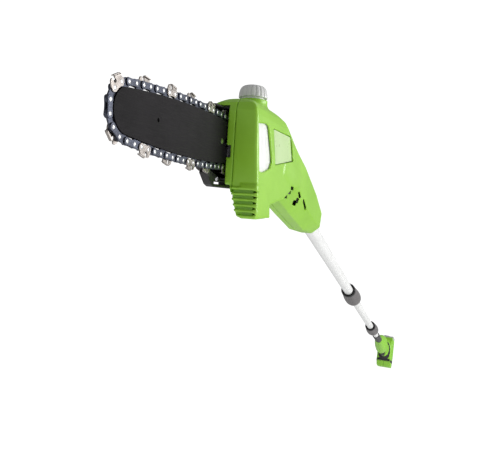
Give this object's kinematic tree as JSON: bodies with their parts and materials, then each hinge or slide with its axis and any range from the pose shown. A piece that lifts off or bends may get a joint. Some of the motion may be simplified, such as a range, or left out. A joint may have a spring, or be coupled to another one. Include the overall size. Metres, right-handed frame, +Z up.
{
  "type": "telescoping pole saw",
  "caption": "Cordless pruning saw on a telescoping pole: a chain round a slim bar, a ribbed motor head with an oil cap, twist collars, a bulbous rear handle and an end-mounted battery.",
  "frame": {"origin": "on the pole's axis, at the middle of the rubber grip sleeve", "axes": "+X along the pole from the grip to the saw head, +Y to the motor side of the bar, +Z up, towards the oil cap"},
  "size_m": [2.5602, 0.074, 0.1995],
  "materials": {
    "side_green": "satin moulded plastic",
    "black_plastic": "fine moulded texture",
    "tank": "translucent white plastic",
    "cap_grey": "satin grey plastic",
    "seal_rubber": "soft rubber",
    "bar_steel": "black coating on hard steel",
    "link_steel": "dark blued steel",
    "cutter_chrome": "hard chrome, slightly worn",
    "bright_steel": "bright turned steel",
    "gear_steel": "hardened steel",
    "cast_case": "die-cast, blasted",
    "magnet": "grey ferrite",
    "winding": "laminated core with lacquered copper windings",
    "carbon": "pressed carbon",
    "hose": "clear amber hose",
    "label": "pale printed film, blank",
    "tube_white": "white powder coat",
    "collar_soft": "soft-touch rubber over plastic",
    "grip_foam": "fine-grained rubber",
    "lead": "coiled lead sheath",
    "board": "green circuit board",
    "cell": "shrink-wrapped cells",
    "spring": "music wire"
  },
  "bodies": {
    "handle": {"lower_tube": "tube_white", "coiled_lead": "lead", "grip_sleeve": "grip_foam", "control_board": "board", "handle_shell_right": "side_green", "handle_shell_left": "side_green", "handle_screws": "bright_steel", "trigger_pin": "bright_steel", "springs": "spring", "power_switch": "black_plastic", "battery_rail": "black_plastic"},
    "mid_pole": {"middle_tube": "tube_white", "lower_collet": "black_plastic"},
    "head": {"head_shell_right": "side_green", "head_shell_left": "side_green", "oil_tank": "tank", "guide_bar": "bar_steel", "bar_plate": "bright_steel", "bar_stud": "bright_steel", "drive_links": "link_steel", "tie_straps": "link_steel", "cutters": "cutter_chrome", "chain_rivets": "bright_steel", "output_bearings": "bright_steel", "gear_case": "cast_case", "gear_cover": "cast_case", "motor_can": "gear_steel", "motor_end_cap": "black_plastic", "motor_magnets": "magnet", "motor_bearings": "bright_steel", "carbon_brushes": "carbon", "oil_pump": "black_plastic", "oil_line": "hose", "head_screws": "bright_steel", "side_label": "label", "tube_clamp": "black_plastic", "upper_tube": "tube_white", "upper_collet": "black_plastic"},
    "lower_collar": {"lower_collar": "collar_soft"},
    "upper_collar": {"upper_collar": "collar_soft"},
    "cap_lift": {"cap_seal": "seal_rubber"},
    "cap": {"oil_cap": "cap_grey"},
    "side_cover": {"chain_cover": "black_plastic", "branch_bumper": "black_plastic", "tension_pin": "bright_steel"},
    "bar_nut": {"bar_nut": "black_plastic"},
    "tension_screw": {"tension_screw": "bright_steel"},
    "nose_sprocket": {"nose_sprocket": "gear_steel"},
    "output": {"output_shaft": "bright_steel", "crown_gear": "gear_steel", "drive_sprocket": "gear_steel", "sprocket_clip": "bright_steel"},
    "rotor": {"armature": "winding", "motor_pinion": "gear_steel", "cooling_fan": "black_plastic"},
    "trigger": {"trigger": "black_plastic"},
    "lock_off_button": {"lock_off_button": "black_plastic"},
    "battery": {"battery_case": "side_green", "battery_cells": "cell"},
    "battery_latch": {"battery_latch": "black_plastic"}
  },
  "joints": [
    {"name": "lower_stage", "type": "slide", "parent": "handle", "child": "mid_pole", "axis": [1, 0, 0], "range_m": [-0.1, 0.36], "deforming": ["coiled_lead"]},
    {"name": "upper_stage", "type": "slide", "parent": "mid_pole", "child": "head", "axis": [1, 0, 0], "range_m": [-0.42, 0], "deforming": ["coiled_lead"]},
    {"name": "lower_collar_twist", "type": "hinge", "parent": "mid_pole", "child": "lower_collar", "pos_m": [0.26, 0, 0], "axis": [1, 0, 0], "range_deg": [0, 120]},
    {"name": "upper_collar_twist", "type": "hinge", "parent": "head", "child": "upper_collar", "pos_m": [0.87, 0, 0], "axis": [1, 0, 0], "range_deg": [0, 120]},
    {"name": "cap_lift", "type": "slide", "parent": "head", "child": "cap_lift", "axis": [0.3502, 0, 0.9367], "range_m": [0, 0.006]},
    {"name": "cap_turn", "type": "hinge", "parent": "cap_lift", "child": "cap", "pos_m": [1.7717, 0, 0.03915], "axis": [0.3502, 0, 0.9367], "range_deg": [0, 720]},
    {"name": "cover_off", "type": "slide", "parent": "head", "child": "side_cover", "axis": [0, -1, 0], "range_m": [0, 0.032]},
    {"name": "nut_turn", "type": "hinge", "parent": "side_cover", "child": "bar_nut", "pos_m": [1.78535, -0.0295, -0.03001], "axis": [0, 1, 0], "continuous": true},
    {"name": "tension_turn", "type": "hinge", "parent": "side_cover", "child": "tension_screw", "pos_m": [1.82843, -0.0181, -0.04612], "axis": [0.9367, 0, -0.3502], "range_deg": [0, 1080]},
    {"name": "nose_spin", "type": "hinge", "parent": "head", "child": "nose_sprocket", "pos_m": [1.96388, -0.0095, -0.09676], "axis": [0, 1, 0], "continuous": true},
    {"name": "output_spin", "type": "hinge", "parent": "head", "child": "output", "pos_m": [1.72727, 0, -0.00829], "axis": [0, 1, 0], "continuous": true},
    {"name": "motor_spin", "type": "hinge", "parent": "head", "child": "rotor", "pos_m": [1.72727, 0, -0.00829], "axis": [1, 0, 0], "continuous": true},
    {"name": "trigger_pull", "type": "hinge", "parent": "handle", "child": "trigger", "pos_m": [-0.349, 0, -0.017], "axis": [0, 1, 0], "range_deg": [0, 12], "stiffness_Nm_per_rad": 0.4, "springref_deg": -17.19, "deforming": ["springs"]},
    {"name": "lock_off_press", "type": "slide", "parent": "handle", "child": "lock_off_button", "axis": [0, 0, -1], "range_m": [0, 0.004], "stiffness_N_per_m": 400, "springref_m": -0.005, "deforming": ["springs"]},
    {"name": "battery_slide", "type": "slide", "parent": "handle", "child": "battery", "axis": [0, 0, 1], "range_m": [0, 0.13]},
    {"name": "latch_press", "type": "slide", "parent": "battery", "child": "battery_latch", "axis": [0, 0, -1], "range_m": [0, 0.003], "stiffness_N_per_m": 400, "springref_m": -0.005}
  ],
  "couplings": [
    {"joint": "cap_lift", "follows": "cap_turn", "m_per_rad": 0.00047746},
    {"joint": "output_spin", "follows": "motor_spin", "ratio": 0.2381},
    {"joint": "nose_spin", "follows": "motor_spin", "ratio": 0.20408}
  ]
}
